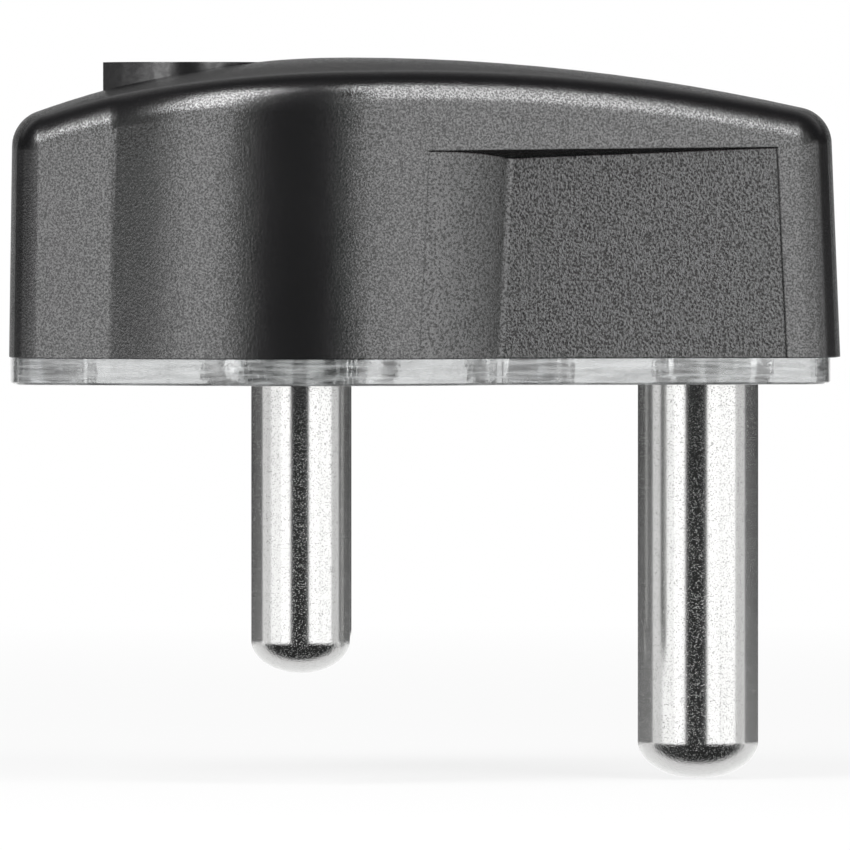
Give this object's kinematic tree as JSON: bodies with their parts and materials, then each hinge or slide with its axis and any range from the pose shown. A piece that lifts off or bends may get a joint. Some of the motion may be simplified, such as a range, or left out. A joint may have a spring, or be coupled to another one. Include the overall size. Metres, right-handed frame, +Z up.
{
  "type": "three pin mains plug",
  "caption": "Rewirable mains plug with round pins, a moulded black rubber cover with grip recesses and a cord sleeve, and a clear plastic base.",
  "frame": {"origin": "on the earth pin's axis, in the engagement face (the underside of the clear base)", "axes": "+X from the live and neutral pins towards the cover's narrow end by the earth pin, +Z up away from the socket, pins point along -Z, live pin on the -Y side"},
  "size_m": [0.0599, 0.042, 0.0521],
  "materials": {
    "cover_rubber": "fine moulded grain",
    "sleeve_rubber": "smooth satin",
    "clear_plastic": "clear gloss",
    "plated_brass": "nickel plated, turned",
    "plain_brass": "machined",
    "screw_steel": "zinc plated",
    "clamp_plastic": "matte"
  },
  "bodies": {
    "root": {"cover": "cover_rubber", "cord_sleeve": "sleeve_rubber", "base": "clear_plastic", "earth_pin": "plated_brass", "live_pin": "plated_brass", "neutral_pin": "plated_brass", "earth_terminal_screw": "screw_steel", "live_terminal_screw": "screw_steel", "neutral_terminal_screw": "screw_steel", "earth_wire_clamp": "plain_brass", "live_wire_clamp": "plain_brass", "neutral_wire_clamp": "plain_brass", "front_cover_screw": "screw_steel", "rear_cover_screw": "screw_steel", "front_cover_insert": "plain_brass", "rear_cover_insert": "plain_brass", "cord_clamp": "clamp_plastic", "left_clamp_screw": "screw_steel", "right_clamp_screw": "screw_steel"}
  },
  "joints": []
}
